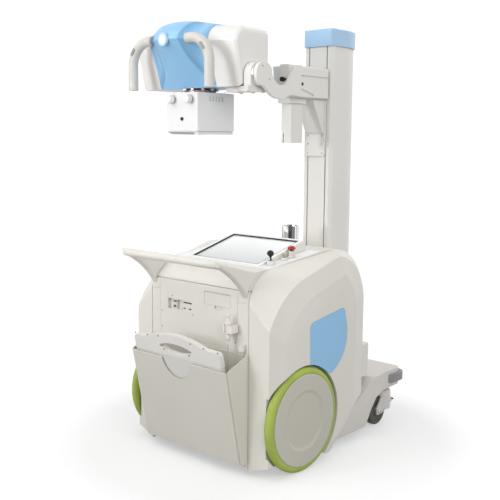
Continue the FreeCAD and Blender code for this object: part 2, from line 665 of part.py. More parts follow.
# Free cord of the hand switch: straight runs joined by tangent arcs
def switch_cord():
    points = [Vector(*point) for point in CORD_POINTS]
    start, edges, radii = points[0], [], []
    for before, corner, after in zip(points, points[1:], points[2:]):
        into, out = corner - before, after - corner
        turn = into.getAngle(out)
        radius = 0.45 * min(into.Length, out.Length) / math.tan(turn / 2)
        trim = radius * math.tan(turn / 2)
        first = corner - into.normalize() * trim
        last = corner + out.normalize() * trim
        centre_way = (last - corner).normalize() + (first - corner).normalize()
        middle = corner + centre_way.normalize() * (radius / math.cos(turn / 2) - radius)
        edges += [Part.LineSegment(start, first).toShape(), Part.Arc(first, middle, last).toShape()]
        radii.append(round(radius, 1))
        start = last
    edges.append(Part.LineSegment(start, points[-1]).toShape())
    path = Part.Wire(edges)
    ring = Part.Wire(Part.makeCircle(S.cord_radius.value, points[0], points[1] - points[0]))
    cord = doc.addObject("Part::Feature", "switch_cord")
    cord.Shape = path.makePipeShell([ring], True, False, 2)
    expected = math.pi * S.cord_radius.value ** 2 * path.Length
    print("cord radii", radii, "volume ratio", round(cord.Shape.Volume / expected, 4), "length",
          round(path.Length))
    keep(cord, "switch_cord")


# Deck over the casters with skirts, and the bumper round its end
def deck():
    half, top, end, wall = S.deck_half, S.deck_top, S.deck_end, S.deck_wall
    cover = Piece("deck_cover")
    cover.add("YZ", [[(215, S.skirt_bottom), (456, S.skirt_bottom), (494, 98), (528, 139), (582, 160),
                      (end, 166),
                      (end, top), (600, top), (520, 226), (430, 179), (300, 98)]], -half, half)
    cover.soften(30, lambda frame, edge: along("z")(frame, edge) and frame.YMin > end.value - 1)
    cover.cut("YZ", [[(236, 20), (end - wall, 20), (end - wall, top - wall), (600, top - wall),
                      (524, 214), (434, 167), (304, 86)]], -half + wall, half - wall)
    cover.cut("XY", [[(-246, 200), (246, 200), (246, 500), (-246, 500)]], 20, 240)
    cover.done()
    gap, out = S.part_gap, S.bumper_out
    bumper = Piece("deck_bumper")
    inner, outer = half + gap, half + out - 8
    rear, corner = end + gap, as_size(30)
    bumper.add("XY", [[(-inner, 616), (-inner, rear - corner, -corner), (-inner + corner, rear),
                       (inner - corner, rear, -corner), (inner, rear - corner), (inner, 616), (outer, 632),
                       (outer, end + out - 44, 44), (outer - 44, end + out), (44 - outer, end + out, 44),
                       (-outer, end + out - 44), (-outer, 632)]], S.bumper_low, S.bumper_high)
    bumper.done()


# Drive wheels: tyre on a dished hub with a closed cap
def drive_wheels():
    for name, side in SIDES:
        inner = S.hub_face - S.tyre_width
        face, tyre_in = S.hub_face, S.wheel_radius - S.tyre_height
        cap = S.wheel_radius - S.cap_margin
        bore = S.axle_radius + S.running_gap
        hub = Piece(f"wheel_hub_{name}", (0, 0, S.wheel_radius))
        hub.spin("XY", [mirrored([
            (face - 14, 0), (face - 5, 0), (face - 5, S.cap_step - 12), (face, S.cap_step),
            (face, cap - 3),
            (face - 2, cap), (face - 14, cap), (face - 14, tyre_in - S.part_gap),
            (inner, tyre_in - S.part_gap), (inner, tyre_in - 12), (face - 22, tyre_in - 18),
            (face - 22, 60),
            (inner, 52), (inner, bore), (face - 14, bore)], side)], "H")
        hub.done()
        tyre = Piece(f"tyre_{name}", (0, 0, S.wheel_radius))
        rim = cap + S.part_gap
        tyre.spin("XY", [mirrored([
            (inner, tyre_in), (face - 14.3, tyre_in), (face - 14.3, rim), (face - 3, rim),
            (face - 2, rim + 4, 19), (face - 15, S.wheel_radius), (inner + 12, S.wheel_radius, 13),
            (inner, S.wheel_radius - 12)], side)], "H")
        tyre.done()


# Swivel casters with a brake pedal on each fork
def casters():
    trail, radius, half = S.caster_trail, S.caster_radius, S.caster_wheel_half
    for name, side in SIDES:
        at = (side * S.caster_x, S.caster_y, 0)
        top = S.caster_top
        dome = Piece(f"caster_dome_{name}", at)
        dome.spin("XZ", [[(0, 62), (38, 62), (38, top - 30, 26), (24, top - 6), (24, top),
                          (S.stem_radius, top),
                          (S.stem_radius, top + 34), (0, top + 34)]], "V")
        dome.add("YZ", [[(-trail - 14, radius - 13), (-trail + 14, radius - 13), (30, 66), (30, top - 14),
                         (-20, top - 14), (-trail - 16, radius + 12)]], -half - 8, half + 8)
        dome.cut("YZ", [circle(-trail, radius, radius + 4)], -half - 1, half + 1)
        dome.cut("YZ", [[(-trail - 30, 20), (30 - trail, 20), (14, 60), (10, 62), (-trail, radius + 40),
                         (-trail - 30, radius + 20)]], -half - 1, half + 1)
        dome.add("YZ", [circle(-trail, radius, S.caster_axle)], -half - 10, half + 10)
        dome.add("YZ", [[(30, 72), (51, 78), (51, 88), (30, 94)]], -20, -15)
        dome.add("YZ", [[(30, 72), (51, 78), (51, 88), (30, 94)]], 15, 20)
        dome.add("YZ", [circle(46, 83, 2.5)], -18, 18)
        dome.done(f"caster_fork_{name}")
        wheel = Piece(f"caster_wheel_{name}", (side * S.caster_x, S.caster_y - trail, radius))
        bore = S.caster_axle + S.running_gap
        wheel.spin("XY", [[(-half, bore), (half, bore), (half, 20), (half - 5, 24), (half - 5, 40),
                           (half, 44),
                           (half, radius - 9, 9), (half - 9, radius), (9 - half, radius, 9),
                           (-half, radius - 9),
                           (-half, 44), (5 - half, 40), (5 - half, 24), (-half, 20)]], "H")
        wheel.done()
        pedal = Piece(f"caster_pedal_{name}", (side * S.caster_x, S.caster_y + 46, 83))
        pedal.add("YZ", [circle(0, 0, 5)], -14, 14)
        pedal.add("YZ", [[(0, -5), (26, -3), (30, 0), (26, 3), (0, 5)]], -14, 14)
        pedal.cut("YZ", [circle(0, 0, 2.5 + S.running_gap)], -15, 15)
        pedal.done()


# Column profile with two guide grooves, and its cap
def column():
    half, front, rear = S.column_half, S.column_front, S.column_rear

    def outline(out):
        return [(-half - out, front - out), (half + out, front - out), (half + 9 + out, front + 17),
                (half + 9 + out, front + 87, 170 + out), (half - 17 + out, rear + out),
                (17 - half - out, rear + out, 170 + out), (-half - 9 - out, front + 87),
                (-half - 9 - out, front + 17)]

    profile = Piece("column_profile")
    profile.add("XY", [outline(as_size(0))], S.deck_top + 0.3, S.column_top)
    for side in (-1, 1):
        low, high = span(side, S.groove_x - S.groove_width / 2, S.groove_x + S.groove_width / 2)
        profile.cut("XY", [[(low, front - 2), (high, front - 2), (high, front + S.groove_depth),
                            (low, front + S.groove_depth)]], S.deck_top - 2, S.column_top + 2)
    profile.cut("XY", [rounded(as_size(-46), front + 24, as_size(46), rear - 14, as_size(10))],
                S.deck_top - 2, S.column_top + 2)
    profile.done()
    cap = Piece("column_cap")
    cap_low, cap_high = S.column_top - S.cap_lap, S.column_top + S.cap_rise
    cap.add("XY", [outline(S.cap_out)], cap_low, cap_high)
    cap.soften(5, at_level("z", cap_high))
    cap.cut("XY", [outline(S.part_gap)], cap_low - 2, S.column_top + S.part_gap)
    cap.done()


# Carriage with its gusset, the arm box, the hook plate and the parking latch
def arm():
    back = S.column_front - S.part_gap
    face = S.column_front - 13
    carriage = Piece("carriage")
    reach = S.groove_x + 1.5
    carriage.add("XZ", [rounded(-reach, as_size(1110), reach, S.arm_high, as_size(4))], face, back)
    carriage.add("YZ", [[(face - 79, S.arm_low - 0.3), (face - 6, 1204), (face + 1, 1204),
                         (face + 1, S.arm_low - 0.3)]], -reach + 2, reach - 2)
    for side in (-1, 1):
        low, high = span(side, reach - 3, reach)
        carriage.add("XY", [[(low, face + 2), (high, face + 2), (high, S.column_front + 7),
                             (low, S.column_front + 7)]], 1114, S.arm_high - 4)
    carriage.done()
    block = Piece("arm_box")
    block.add("YZ", [[(200, S.arm_low), (face - 0.3, S.arm_low), (face - 0.3, S.arm_high - 4),
                     (200, S.arm_high + 2)]], S.arm_left, S.arm_right)
    block.soften(5, lambda frame, edge: frame.YLength > 200)
    block.cut("YZ", [circle(S.pivot_y, S.pivot_z, S.arm_reach)], S.arm_left - 2, 17)
    block.cut("YZ", [circle(S.pivot_y, S.pivot_z, 166)], 16, S.arm_right + 2)
    block.cut("YZ", [[(312, 1417), (face - 6, 1417), (face - 6, 1424), (312, 1424)]], S.arm_right - 3,
             S.arm_right + 2)
    block.cut("YZ", [[(284, 1376), (404, 1345), (406, 1353), (286, 1384)]], S.arm_right - 3,
              S.arm_right + 2)
    block.cut("YZ", [circle(320, 1394, 6)], S.arm_right - 10, S.arm_right + 2)
    block.done()
    hook = Piece("hook_plate")
    y, z = S.pivot_y, S.pivot_z
    disc = S.disc_radius
    plate = S.arm_right + 0.3
    hook.add("YZ", [[(308, 1342), (308, S.arm_high - 1), (278, S.arm_high - 3), (243, 1412, -58),
                     (y + disc * 0.89, z + disc * 0.456, disc), (y, z + disc, disc), (y - disc, z, disc),
                     (y, z - disc), (120, 1347, 107), (240, 1344)]], plate, plate + S.hook_thick)
    hook.soften(1.5, lambda frame, edge: frame.XLength < 0.01 and frame.XMin > plate.value + 1)
    hook.cut("YZ", [circle(y, z, S.pin_radius + S.running_gap)], plate - 2, plate + S.hook_thick - 3)
    hook.done()
    knob = Piece("arm_knob", (40, S.pivot_y + 166 - 0.9, 1405))
    knob.add("XZ", [circle(0, 0, 4)], -14, 0)
    knob.add("XZ", [circle(0, 0, 9)], -24, -12)
    knob.done()
    latch = Piece("park_latch")
    low, high = S.latch_low, S.arm_low - 0.3
    x, y = S.post_x, S.latch_y
    latch.add("XY", [rounded(x - S.latch_half_x, y - S.latch_half_y, x + S.latch_half_x, y + S.latch_half_y,
                             as_size(3))], low, high - 10)
    latch.add("XY", [rounded(x - 30, y - 54, x + 30, y + 54, as_size(4))], high - 22, high)
    latch.cut("XZ", [[(x - 14, low - 1), (x - 10, low - 1), (x - 10, low + 38), (x - 14, low + 38)]],
              y - S.latch_half_y - 1, y - S.latch_half_y + 12)
    latch.done()


# Trunnion ear and cradle that carry the tube head on its tilt axis
def cradle():
    y, z = S.pivot_y, S.pivot_z
    ring_right = S.arm_right
    ring_left = ring_right - S.ring_thick
    ear_left = ring_left - S.ear_thick
    radius = S.ear_radius
    under = S.head_low - S.part_gap
    ear = Piece("head_cradle")
    ear.add("YZ", [[(y - radius, under - 18), (y + radius, under - 18), (y + radius, z, radius),
                    (y, z + radius, radius), (y - radius, z)]], ear_left, ring_left)
    ear.add("XY", [[(-92, y - 24), (ring_left, y - 58), (ring_left, y + 58), (-92, y + 50)]], under - 18,
            under)
    ear.add("YZ", [circle(y, z, S.pin_radius)], ring_left - 1, S.arm_right + 12)
    ear.cut("XY", [rounded(as_size(-70), y - 4, as_size(10), y + 8, as_size(3))], under - 20, under - 8)
    ear.done()
    ring = Piece("pivot_ring", (0, y, z))
    bore = S.pin_radius + S.part_gap
    left, right = ring_left + S.part_gap, ring_right - S.part_gap
    ring.spin("XY", [[(left, bore), (right, bore), (right, 38), (right - 3, 42), (right - 5, 38),
                      (left + 3, 38),
                      (left, 42)]], "H")
    ring.done()


def head_outline(front, top, back, low, slant, inset):
    """The tube head's outline seen from its end, made smaller by an inset."""
    return [(front + slant + inset, low + inset), (back - inset, low + inset),
            (back - inset, top - 28, 28 - inset),
            (back - 28, top - inset), (front + 52, top - inset, 74 - inset), (front + inset, top - 58)]


# Tube head: two lofted end shells, the coloured saddle, bent grips and the swivel flange
def tube_head():
    centre, half, saddle_half = S.head_centre, S.head_half, S.saddle_half
    back, low, high = S.head_back, S.head_low, S.head_high
    for name, side in SIDES:
        shell = Piece(f"head_shell_{name}", (centre, 0, 0))
        rows = [(side * (saddle_half + S.part_gap), head_outline(-20, high + 6, back, low, 52, as_size(0)))]
        for turn in (0, 30, 60, 90):
            inset = S.head_round * (1 - math.cos(math.radians(turn)))
            reach = half - S.head_round * (1 - math.sin(math.radians(turn)))
            rows.append((side * reach, head_outline(4, high, back, low, 34, inset)))
        shell.loft("YZ", rows, straight=True)
        shell.done()
    grips = []
    for name, side in SIDES:
        grip = Piece(f"grip_form_{name}", (centre, 0, 0))
        turn = S.grip_top - 92
        grip.pipe("XZ", [(side * S.grip_root, S.grip_top), (side * (S.grip_out - 92), S.grip_top,
                                                            side * -92),
                         (side * S.grip_out, turn), (side * S.grip_out, S.grip_end)],
                  "YZ", circle(S.grip_y, S.grip_top, S.grip_radius), side * S.grip_root)
        shift_spine(grip, S.grip_y)
        grips.append(grip.body)
    saddle = Piece("saddle_form", (centre, 0, 0))
    nose = S.saddle_nose
    half_rows = ((as_size(68), nose + 11, 24), (as_size(88), nose + 22, 22), (as_size(102), nose + 36, 20),
                 (as_size(126), nose + 55, 16), (S.saddle_half, nose + 78, 10))
    rows = [(-1, *row) for row in reversed(half_rows)] + [(1, as_size(0), nose,
                                                           27)] + [(1, *row) for row in half_rows]
    saddle.loft("YZ", [(side * x, [(34, low), (back, low), (back + 3, high - 20, 40),
                                   (back - 30, high + rise),
                                   (front + 88, high + rise, 96), (front, high - 46)])
                       for side, x, front, rise in rows])
    seat = cylinder("disc_seat", 25 + S.part_gap, 60, (centre, nose + 3.4 + S.part_gap, high - 46),
                    (1, 0, 0), 90)
    boolean("Cut", saddle.body, [*grips, seat], "head_saddle")
    for (name, side), form in zip(SIDES, grips):
        button_at = (centre + side * (S.grip_out - 92 + 92 * math.cos(math.radians(38))), S.grip_y,
                     S.grip_top - 92 + 92 * math.sin(math.radians(38)))
        pocket = oblong(f"grip_pocket_{name}", button_at, side, as_size(6.4), S.grip_radius - 7.6,
                        as_size(40))
        boolean("Cut", form, [pocket], f"grip_{name}")
        button = oblong(f"grip_button_{name}", button_at, side, as_size(6), S.grip_radius - 5.6,
                        S.grip_radius + 1.6)
        keep(button, f"grip_button_{name}")
    disc = Piece("head_disc", (centre, nose - 0.6, high - 46))
    disc.add("XZ", [circle(0, 0, 25)], -4, 4)
    disc.cut("XZ", [circle(0, 0, 19)], -5, -1)
    disc.add("XZ", [circle(0, 0, 18.6)], -4.6, -0.5)
    disc.done()
    flange = Piece("swivel_flange", (centre, S.beam_y, 0))
    bore = S.neck_radius + S.running_gap
    flange.spin("XZ", [[(bore, S.collimator_high + 2), (S.flange_radius, S.collimator_high + 2),
                        (S.flange_radius, low - 6), (S.flange_radius - 8, low - S.part_gap),
                        (bore, low - S.part_gap)]],
                "V")
    flange.done()


def shift_spine(piece, y):
    """Moves the sweep's path sketch to its distance across the XZ plane."""
    spine = next(item for item in piece.body.Group if item.TypeId == "PartDesign::AdditivePipe").Spine[0]
    bind(spine, "AttachmentOffset.Base.z", -y)


def oblong(name, at, side, half_width, low, high):
    """An oblong block square to the grip's bend, reaching from one depth to another toward the operator."""
    made = Piece(name, at, (0, 1, 0), side * 52)
    made.add("XZ", [rounded(as_size(-17), -half_width, as_size(17), half_width, half_width - 0.1)], -high,
             -low)
    return made.body


# Collimator with its rails, knobs and lamp button
def collimator():
    at = (S.head_centre, S.beam_y, 0)
    x, y = S.collimator_half_x, S.collimator_half_y
    low, high = S.collimator_low, S.collimator_high
    body = Piece("collimator_body", at)
    body.add("XY", [rounded(-x, -y, x, y, as_size(4))], low, high)
    body.soften(3, at_level("z", high))
    body.add("XY", [[(-x + 6, -y + 5), (x - 6, -y + 5), (x - 6, y - 5), (-x + 6, y - 5)]], S.rail_low + 8,
             low)
    for side in (-1, 1):
        inner, outer = span(side, x - 22, x - 3)
        body.add("XY", [[(inner, -y + 4), (outer, -y + 4), (outer, y - 4), (inner, y - 4)]], S.rail_low,
                 S.rail_low + 5)
        inner, outer = span(side, x - 12, x - 3)
        body.add("XY", [[(inner, -y + 4), (outer, -y + 4), (outer, y - 4), (inner, y - 4)]], S.rail_low + 4,
                 S.rail_low + 9)
    body.add("XY", [circle(0, 0, S.neck_radius)], high - 1, high + 14)
    body.cut("XY", [rounded(as_size(-46), as_size(-46), as_size(46), as_size(46), as_size(4))],
             S.rail_low + 2,
             low + 14)
    for slot in range(5):
        start = -38 + slot * 17
        body.cut("YZ", [rounded(as_size(start), high - 34, as_size(start + 7), high - 14, as_size(3))],
                 x - 5, x + 2)
    front = -y
    for side in (-1, 1):
        body.cut("XZ", [circle(side * S.knob_spacing / 2, high - 26, 4 + S.running_gap)], front - 1,
                 front + 12)
    body.cut("XZ", [circle(4, low + 46, 6.8)], front - 1, front + 12)
    body.done()
    for name, side in SIDES:
        knob = Piece(f"collimator_knob_{name}", (S.head_centre + side * S.knob_spacing / 2,
                                                 S.beam_y + front - S.part_gap, high - 26), (1, 0, 0), 90)
        length, radius = S.knob_length, S.knob_radius
        knob.spin("XZ", [[(0, -11), (4, -11), (4, 0), (radius - 3, 0), (radius - 3, 5), (radius, 7),
                          (radius - 1, length - 2), (radius - 3, length), (0, length)]], "V")
        knob.done()
    lamp = Piece("lamp_button", (S.head_centre + 4, S.beam_y + front, low + 46), (1, 0, 0), 90)
    lamp.spin("XZ", [[(0, -7), (6.4, -7), (6.4, 4), (5, 6), (0, 6)]], "V")
    lamp.done()


def write_all():
    doc.recompute()
    broken = [item.Name for item in doc.Objects if "Invalid" in item.State or "Error" in item.State]
    if broken:
        raise RuntimeError(f"failed objects: {broken}")
    os.makedirs("parts", exist_ok=True)
    for item in NODES:
        shape = item.Shape
        if shape.isNull() or not shape.isValid() or not shape.Solids:
            raise RuntimeError(f"{item.Label} has no valid solid")
        shape.exportStep(f"parts/{item.Label}.step")


base_frame()
inner_units()
side_covers()
front_panel()
flap_door()
console()
controls()
rear_cover()
detector_bin()
detector()
hand_switch()
switch_cord()
deck()
drive_wheels()
casters()
column()
arm()
cradle()
tube_head()
collimator()
write_all()
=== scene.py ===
import math

import bmesh
import bpy
from mathutils import Matrix, Vector


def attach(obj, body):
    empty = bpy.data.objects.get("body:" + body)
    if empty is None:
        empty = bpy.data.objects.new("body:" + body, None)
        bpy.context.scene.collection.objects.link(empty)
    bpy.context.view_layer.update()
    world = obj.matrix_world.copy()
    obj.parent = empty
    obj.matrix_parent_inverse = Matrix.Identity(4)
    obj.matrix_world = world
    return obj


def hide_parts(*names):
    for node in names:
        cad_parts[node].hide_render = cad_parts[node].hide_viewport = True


bl_info = {
    "name": "Mobile X-ray Machine Look",
    "version": (1, 0, 0),
    "blender": (4, 5, 0),
    "location": "View3D > Sidebar > X-ray",
    "description": "Finishes and small parts for a mobile x-ray machine",
    "category": "Object",
}

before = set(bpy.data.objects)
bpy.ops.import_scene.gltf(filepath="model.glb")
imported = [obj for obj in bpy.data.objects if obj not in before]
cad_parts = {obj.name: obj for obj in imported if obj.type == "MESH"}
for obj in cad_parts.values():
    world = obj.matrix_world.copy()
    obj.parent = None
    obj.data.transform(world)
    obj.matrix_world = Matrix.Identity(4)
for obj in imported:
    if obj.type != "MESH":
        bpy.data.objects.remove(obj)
WHITE = (1.0, 1.0, 1.0)
MIRROR_RAYS = ("Is Glossy Ray", "Is Transmission Ray")

# Places and sizes are in metres in the part's frame, unless a comment says millimetres.
# The tube head's middle, and the line of its beam.
HEAD_X = -0.262
BEAM_Y = 0.097

# Where the edges of the light field round the display begin and end.
OVERLAY_SIDE = (0.2395, 0.2405)
OVERLAY_FRONT = (-0.066, -0.065)
OVERLAY_BACK = (0.235, 0.236)

# Operator-side panel: each socket's place, half its size and its colour, then the plugs and the slot.
SOCKETS = (
    ((-0.1150, -0.1712, 0.5780), (0.0045, 0.003, 0.003), (0.16, 0.22, 0.33)),
    ((-0.1235, -0.1712, 0.5610), (0.003, 0.003, 0.00425), (0.33, 0.24, 0.20)),
)
PLUGS = ((-0.0679, -0.1727, 0.5575), (-0.0395, -0.1727, 0.5575))
PLUG_HALF = (0.0034, 0.0012, 0.0018)
SLOT = (-0.053, -0.1722, 0.5795)
SLOT_HALF = (0.0205, 0.001, 0.0019)
PANEL_SCREW_Y = -0.1749
PANEL_SCREWS = ((-0.1326, 0.5967), (-0.0230, 0.5396), (-0.190, 0.534), (-0.190, 0.474), (0.190, 0.534),
                (0.190, 0.474))

# Detector's handle: its screws in millimetres, and the way its leaning face points.
HANDLE_SCREWS = (
    (-207.8, -290.4, 464.6), (-142.4, -291.0, 467.3), (-82.1, -292.0, 472.4), (-61.9, -282.2, 425.1),
    (68.1, -282.2, 425.2), (84.2, -291.7, 470.9), (148.1, -290.7, 465.8), (215.4, -289.7, 461.1),
)
HANDLE_FACING = (0, -0.979, -0.2045)

# Hand switch: the points of its cord in millimetres, and the relief rings above the cord.
CORD_ROUTE = (
    (179, -201, 469.95), (179.5, -201, 428), (177, -198, 374), (177.5, -195, 322), (179.5, -193, 279),
    (183, -192, 247), (194.5, -191, 235), (211, -190, 234.5), (223, -189, 246), (226, -188.5, 278),
    (227.5, -188, 322), (229, -188, 368), (231, -189, 412), (229.5, -189, 451.7),
)
RINGS = 4
RING_PLACE = (0.179, -0.201, 0.4815)
RING_PITCH = 0.003
RING_BORE = 0.0036
RING_RADIUS = 0.0049
RING_TAPER = 0.0003

# Casters: the axle of the right one, and how far out the nuts on its ends sit.
CASTER_AXLE = (0.262, 0.600, 0.058)
NUT_OUT = 0.026
NUT_RADIUS = 0.0075

# Arm: the plug in its side, and the screws of the hook plate and of the carriage.
ARM_PLUG = (0.063, 0.333, 1.391)
ARM_PLUG_PROFILE = ((0.0062, 0), (0.0062, 0.0014), (0.0046, 0.0022), (0, 0.0022))
HOOK_SCREWS = ((0.0793, 0.080, 1.442), (0.0793, 0.118, 1.397))
CARRIAGE_SCREWS = [(x, 0.4999, z) for x in (-0.036, 0.036) for z in (1.122, 1.160, 1.192)]

# Saddle: its raised bib is narrowest at the neck and flares out above and below it.
BIB_NECK_Z = 1.535
BIB_NECK_HALF = 0.066
BIB_FLARE = 0.026
BIB_REACH = 0.090
CHANNEL_DEPTH = 0.012

# Bolts under the head: the ring on the flange, and two rows on the cradle.
FLANGE_BOLTS = 10
FLANGE_RING = 0.066
FLANGE_BOLT_Z = 1.3692
CRADLE_BOLTS = [(x, y, 1.3518) for x in (-0.080, -0.020, 0.030) for y in (0.045, 0.138)]

# Radii and heights along a screw head's profile, as shares of its radius.
SCREW_PROFILE = ((1, 0), (1, 0.25), (0.8, 0.5), (0.45, 0.56), (0.42, 0.2), (0, 0.2))
SMOOTH_BELOW = math.radians(30.0)

# Stage: a backdrop a touch over white, and the camera's place, angles in degrees and lens in millimetres.
BACKDROP = 1.05
CAMERA_PLACE = (2.1048, -2.2234, 1.1753)
CAMERA_ANGLES = (42.094, 7.636, 0.472)
CAMERA_LENS = 59.37
CAMERA_SENSOR = 36.0


def metres(place):
    """Turns a place in millimetres into metres."""
    return [part / 1000 for part in place]

def linear(colour):
    """Turns a display colour into the linear values that the shaders use."""
    return tuple(part / 12.92 if part <= 0.04045 else ((part + 0.055) / 1.055) ** 2.4 for part in colour)


class Wire:
    """A shader value, with arithmetic that adds the nodes it needs."""

    def __init__(self, graph, socket):
        self.graph = graph
        self.socket = socket

    def calc(self, operation, *others):
        return self.graph.node("ShaderNodeMath", {"operation": operation}, dict(enumerate((self, *others))))

    def flipped(self, operation, other):
        return self.graph.node("ShaderNodeMath", {"operation": operation}, {0: other, 1: self})

    def __add__(self, other):
        return self.calc("ADD", other)

    def __sub__(self, other):
        return self.calc("SUBTRACT", other)

    def __mul__(self, other):
        return self.calc("MULTIPLY", other)

    def __truediv__(self, other):
        return self.calc("DIVIDE", other)

    def __pow__(self, other):
        return self.calc("POWER", other)

    def __rsub__(self, other):
        return self.flipped("SUBTRACT", other)

    def __rtruediv__(self, other):
        return self.flipped("DIVIDE", other)

    def __rpow__(self, other):
        return self.flipped("POWER", other)

    __radd__ = __add__
    __rmul__ = __mul__

    def size(self):
        return self.calc("ABSOLUTE")

    def sine(self):
        return self.calc("SINE")

    def most(self, other):
        return self.calc("MAXIMUM", other)

    def ramp(self, low, high):
        """Rises smoothly from 0 at the low value to 1 at the high one."""
        return self.graph.node("ShaderNodeMapRange", {"interpolation_type": "SMOOTHSTEP"},
                               {"Value": self, "From Min": low, "From Max": high})


class Graph:
    """The node tree of a material or of the world."""

    def __init__(self, owner):
        owner.use_nodes = True
        self.tree = owner.node_tree
        self.tree.nodes.clear()

    def node(self, kind, settings=None, inputs=None, output=0):
        """Adds a node with its settings and sockets, and gives one of its outputs if it has any."""
        made = self.tree.nodes.new(kind)
        for field, value in (settings or {}).items():
            setattr(made, field, value)
        for key, value in (inputs or {}).items():
            socket = made.inputs[key]
            if isinstance(value, Wire):
                self.tree.links.new(value.socket, socket)
            elif socket.type == "RGBA":
                socket.default_value = (*value[:3], 1.0)
            else:
                socket.default_value = value
        return Wire(self, made.outputs[output]) if made.outputs else None

    def mix(self, factor, first, second):
        """Blends two colours."""
        return self.node("ShaderNodeMix", {"data_type": "RGBA"}, {0: factor, 6: first, 7: second}, 2)

    def seen(self):
        """1 for the rays that show the background: to the camera, in metal and through glass."""
        share = self.node("ShaderNodeLightPath", output="Is Camera Ray")
        for ray in MIRROR_RAYS:
            share = share.most(self.node("ShaderNodeLightPath", output=ray))
        return share


class Finish(Graph):
    """A material's node tree, with the textures and masks that the finishes share."""

    def __init__(self, name):
        self.material = bpy.data.materials.new(name)
        super().__init__(self.material)
        self.place = self.node("ShaderNodeTexCoord", output="Object")
        split = self.node("ShaderNodeSeparateXYZ", inputs={"Vector": self.place})
        self.x, self.y, self.z = (Wire(self, split.socket.node.outputs[axis]) for axis in "XYZ")
        self.facing = self.node("ShaderNodeNewGeometry", output="Normal")

    def noise(self, scale, detail=3.0, stretch=(1.0, 1.0, 1.0)):
        """Cloudy noise between 0 and 1, finer with a larger scale per metre."""
        spread = self.node("ShaderNodeMapping", {}, {"Vector": self.place, "Scale": stretch})
        return self.node("ShaderNodeTexNoise", {}, {"Vector": spread, "Scale": scale, "Detail": detail})

    def cells(self, scale):
        """Distance to the nearest of many scattered points, for the grain of a mould."""
        return self.node("ShaderNodeTexVoronoi", {}, {"Vector": self.place, "Scale": scale}, "Distance")

    def upward(self):
        """1 on faces that look up, 0 on walls and undersides."""
        split = self.node("ShaderNodeSeparateXYZ", inputs={"Vector": self.facing}, output="Z")
        return split.ramp(0.35, 0.95)

    def edges(self, radius):
        """1 on edges and 0 on flats, from the bevelled against the true normal."""
        soft = self.node("ShaderNodeBevel", {"samples": 4}, {"Radius": radius})
        match = self.node("ShaderNodeVectorMath", {"operation": "DOT_PRODUCT"}, {0: soft, 1: self.facing},
                          "Value")
        return match.ramp(0.985, 0.86)

    def corners(self, distance):
        """1 in creases and seams, 0 in the open."""
        light = self.node("ShaderNodeAmbientOcclusion", {"samples": 6}, {"Distance": distance}, "AO")
        return light.ramp(0.92, 0.35)

    def distance(self, place, axis):
        """Distance from a line through a place along one axis."""
        first, second = (way - part for name, way, part in zip("xyz", (self.x, self.y, self.z), place)
                         if name != axis)
        return (first * first + second * second) ** 0.5

    def surface(self, colour, roughness, height=None, depth=0.0002, bevel=0.0006, more=None):
        """Ends the tree with one principled surface, its bump and its softened edges."""
        normal = self.node("ShaderNodeBevel", {"samples": 4}, {"Radius": bevel})
        if height is not None:
            normal = self.node("ShaderNodeBump", {}, {"Height": height, "Distance": depth, "Strength": 0.6,
                                                      "Normal": normal})
        return self.end(self.node("ShaderNodeBsdfPrincipled", {}, {
            "Base Color": colour, "Roughness": roughness, "Normal": normal, **(more or {})}))

    def end(self, surface):
        """Ends the tree with a surface and gives the material."""
        self.node("ShaderNodeOutputMaterial", {}, {"Surface": surface})
        return self.material


def shade(colour, share):
    """A colour made darker or lighter by a share."""
    return tuple(min(1.0, part * share) for part in colour)


def moulded(name, colour, rough=0.42, grain=900.0, depth=0.00006, crease_shade=0.35, patch=None, worn=1.0,
            relief=None):
    """Moulded plastic: fine grain, faint tone drift, dust on top, painted shade in the seams and a painted
    highlight on edges.

    A patch gives a share from 0 to 1 and the colour that this share of the surface has instead.
    Worn scales the dust and the scuffs. A relief gives soft forms as a height in metres."""
    graph = Finish(name)
    base = linear(colour)
    tone = graph.mix(graph.noise(2.2, 2.0).ramp(0.3, 0.7), shade(base, 0.965), shade(base, 1.02))
    if patch:
        share, other = patch(graph)
        tone = graph.mix(share, tone, linear(other))
    # Painted shade: creases and seams, found by ambient occlusion, are made darker.
    tone = graph.mix(graph.corners(0.012) * crease_shade, tone, shade(base, 0.42))
    dust = graph.upward() * graph.noise(38.0, 5.0).ramp(0.42, 0.72) * worn
    tone = graph.mix(dust * 0.10, tone, linear((0.78, 0.76, 0.72)))
    # Painted highlight: the edges are made a little lighter.
    tone = graph.mix(graph.edges(0.0022) * 0.22, tone, shade(base, 1.10))
    scuff = graph.noise(14.0, 6.0, (1.0, 1.0, 6.0)).ramp(0.45, 0.85)
    shine = rough + scuff * 0.06 * worn + dust * 0.12 - graph.noise(5.0, 2.0) * 0.04
    height = graph.cells(grain) + graph.noise(grain * 1.7, 2.0) * 0.6
    if relief:
        height, depth = height * depth + relief(graph), 1.0
    return graph.surface(tone, shine, height, depth, bevel=0.0011, more={"Specular IOR Level": 0.45})


